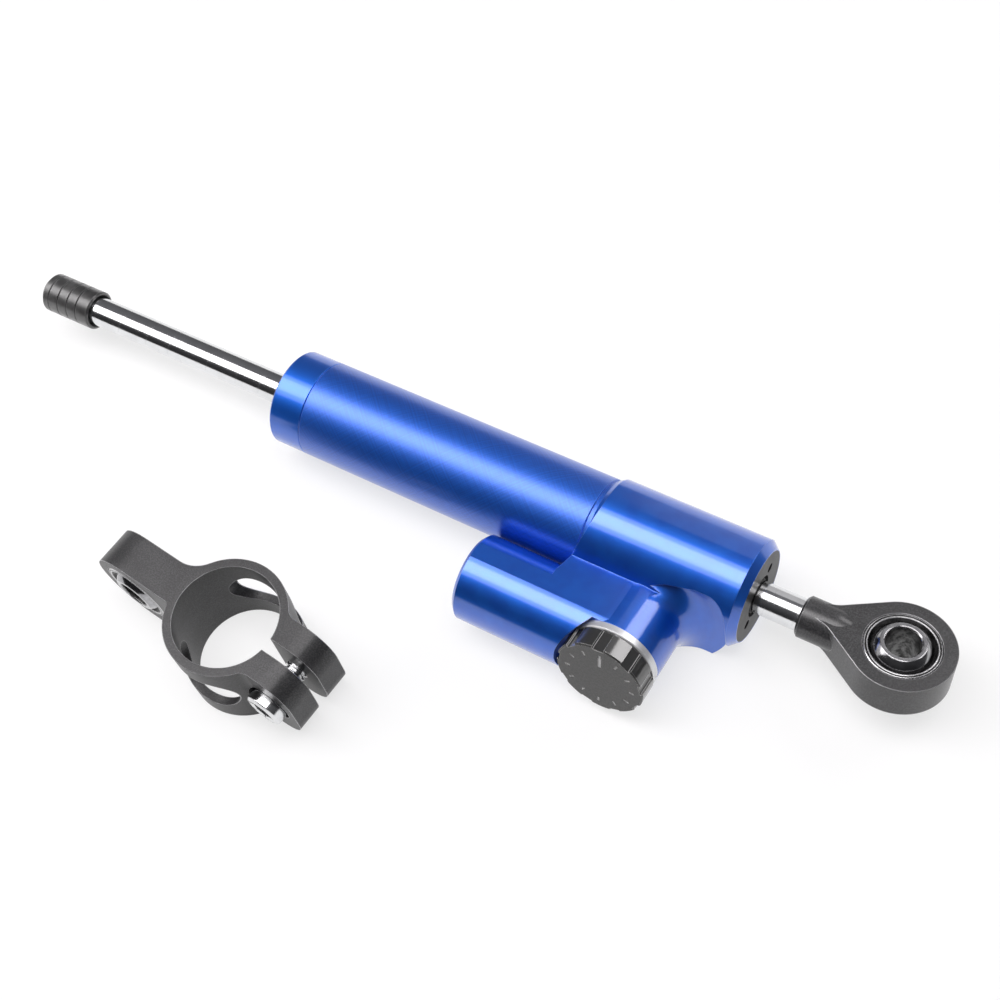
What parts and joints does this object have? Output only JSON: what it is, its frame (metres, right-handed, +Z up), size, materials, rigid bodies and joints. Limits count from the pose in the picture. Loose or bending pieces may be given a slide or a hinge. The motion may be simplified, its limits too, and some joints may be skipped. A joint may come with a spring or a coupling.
{
  "type": "motorcycle steering damper",
  "caption": "Through-rod hydraulic steering damper with a side chamber, a click-adjust knob, a rod eye with a spherical ball, and a loose frame clamp with its own ball.",
  "frame": {"origin": "centre of the rod eye's ball, on the damper's axis", "axes": "+X along the rod out of the barrel through the rod eye; +Z up with the damper lying on its head and side chamber and the clamp lying flat beside it; the knob is on the -Y side"},
  "size_m": [0.2611, 0.0923, 0.0269],
  "materials": {
    "blue_aluminium": "turned, then anodised glossy blue",
    "black_aluminium": "bead blasted, then anodised black",
    "knob_aluminium": "turned, then anodised satin black",
    "bare_aluminium": "turned, bare",
    "hard_chrome": "hard chromed and ground",
    "black_steel": "ground steel, blackened",
    "polished_steel": "polished and nickel plated",
    "plain_steel": "machined steel",
    "bronze": "plain bronze",
    "rubber": "moulded black rubber",
    "ring_plastic": "filled low-friction plastic"
  },
  "bodies": {
    "barrel": {"damper_body": "blue_aluminium", "barrel_tube": "blue_aluminium", "barrel_end_gland": "blue_aluminium", "rear_rod_bush": "bronze", "rear_rod_seal": "rubber", "rear_rod_wiper": "rubber", "rear_barrel_oring": "rubber", "front_barrel_oring": "rubber", "front_gland_nut": "black_aluminium", "front_rod_bush": "bronze", "front_rod_seal": "rubber", "front_rod_wiper": "rubber", "chamber_plug": "black_aluminium", "chamber_plug_oring": "rubber", "bezel_ring": "bare_aluminium", "spindle_retainer": "plain_steel", "detent_ball": "polished_steel", "detent_spring": "plain_steel"},
    "piston_ring": {"piston_ring": "ring_plastic"},
    "rod": {"piston_rod": "hard_chrome", "piston": "bare_aluminium", "rear_piston_clip": "plain_steel", "front_piston_clip": "plain_steel", "rubber_end_cap": "rubber", "rod_eye_housing": "black_aluminium", "rod_eye_race": "black_steel"},
    "rod_eye_ball": {"rod_eye_ball": "polished_steel"},
    "knob": {"adjuster_knob": "knob_aluminium", "knob_grub_screw": "plain_steel", "knob_spindle": "plain_steel", "spindle_oring": "rubber"},
    "needle": {"metering_needle": "plain_steel"},
    "floating_piston": {"floating_piston": "bare_aluminium", "floating_piston_oring": "rubber"},
    "clamp": {"clamp_ring": "black_aluminium", "clamp_race": "black_steel", "clamp_bolt": "polished_steel"},
    "clamp_ball": {"clamp_ball": "polished_steel"}
  },
  "joints": [
    {"name": "damper_slide", "type": "slide", "parent": "barrel", "child": "piston_ring", "axis": [1, 0, 0], "range_m": [-0.0095, 0.058]},
    {"name": "rod_spin", "type": "hinge", "parent": "piston_ring", "child": "rod", "pos_m": [-0.132, 0, 0], "axis": [1, 0, 0], "continuous": true},
    {"name": "rod_eye_tilt", "type": "hinge", "parent": "rod", "child": "rod_eye_ball", "pos_m": [0, 0, 0], "axis": [1, 0, 0], "range_deg": [-13, 13]},
    {"name": "knob_turn", "type": "hinge", "parent": "barrel", "child": "knob", "pos_m": [-0.0579, -0.03086, -0.00086], "axis": [0, -0.9779, 0.2092], "range_deg": [-150, 150]},
    {"name": "needle_slide", "type": "slide", "parent": "barrel", "child": "needle", "axis": [0, -0.9779, 0.2092], "range_m": [-0.0004, 0.0004]},
    {"name": "float_slide", "type": "slide", "parent": "barrel", "child": "floating_piston", "axis": [1, 0, 0], "range_m": [-0.006, 0.003]},
    {"name": "clamp_lift", "type": "slide", "parent": "barrel", "child": "clamp", "axis": [0, 0, 1], "range_m": [0, 0.1]},
    {"name": "clamp_ball_tilt", "type": "hinge", "parent": "clamp", "child": "clamp_ball", "pos_m": [-0.17109, -0.06007, -0.00165], "axis": [0, 0, 1], "range_deg": [-13, 13]}
  ],
  "couplings": [
    {"joint": "needle_slide", "follows": "knob_turn", "m_per_rad": -0.00011937}
  ]
}
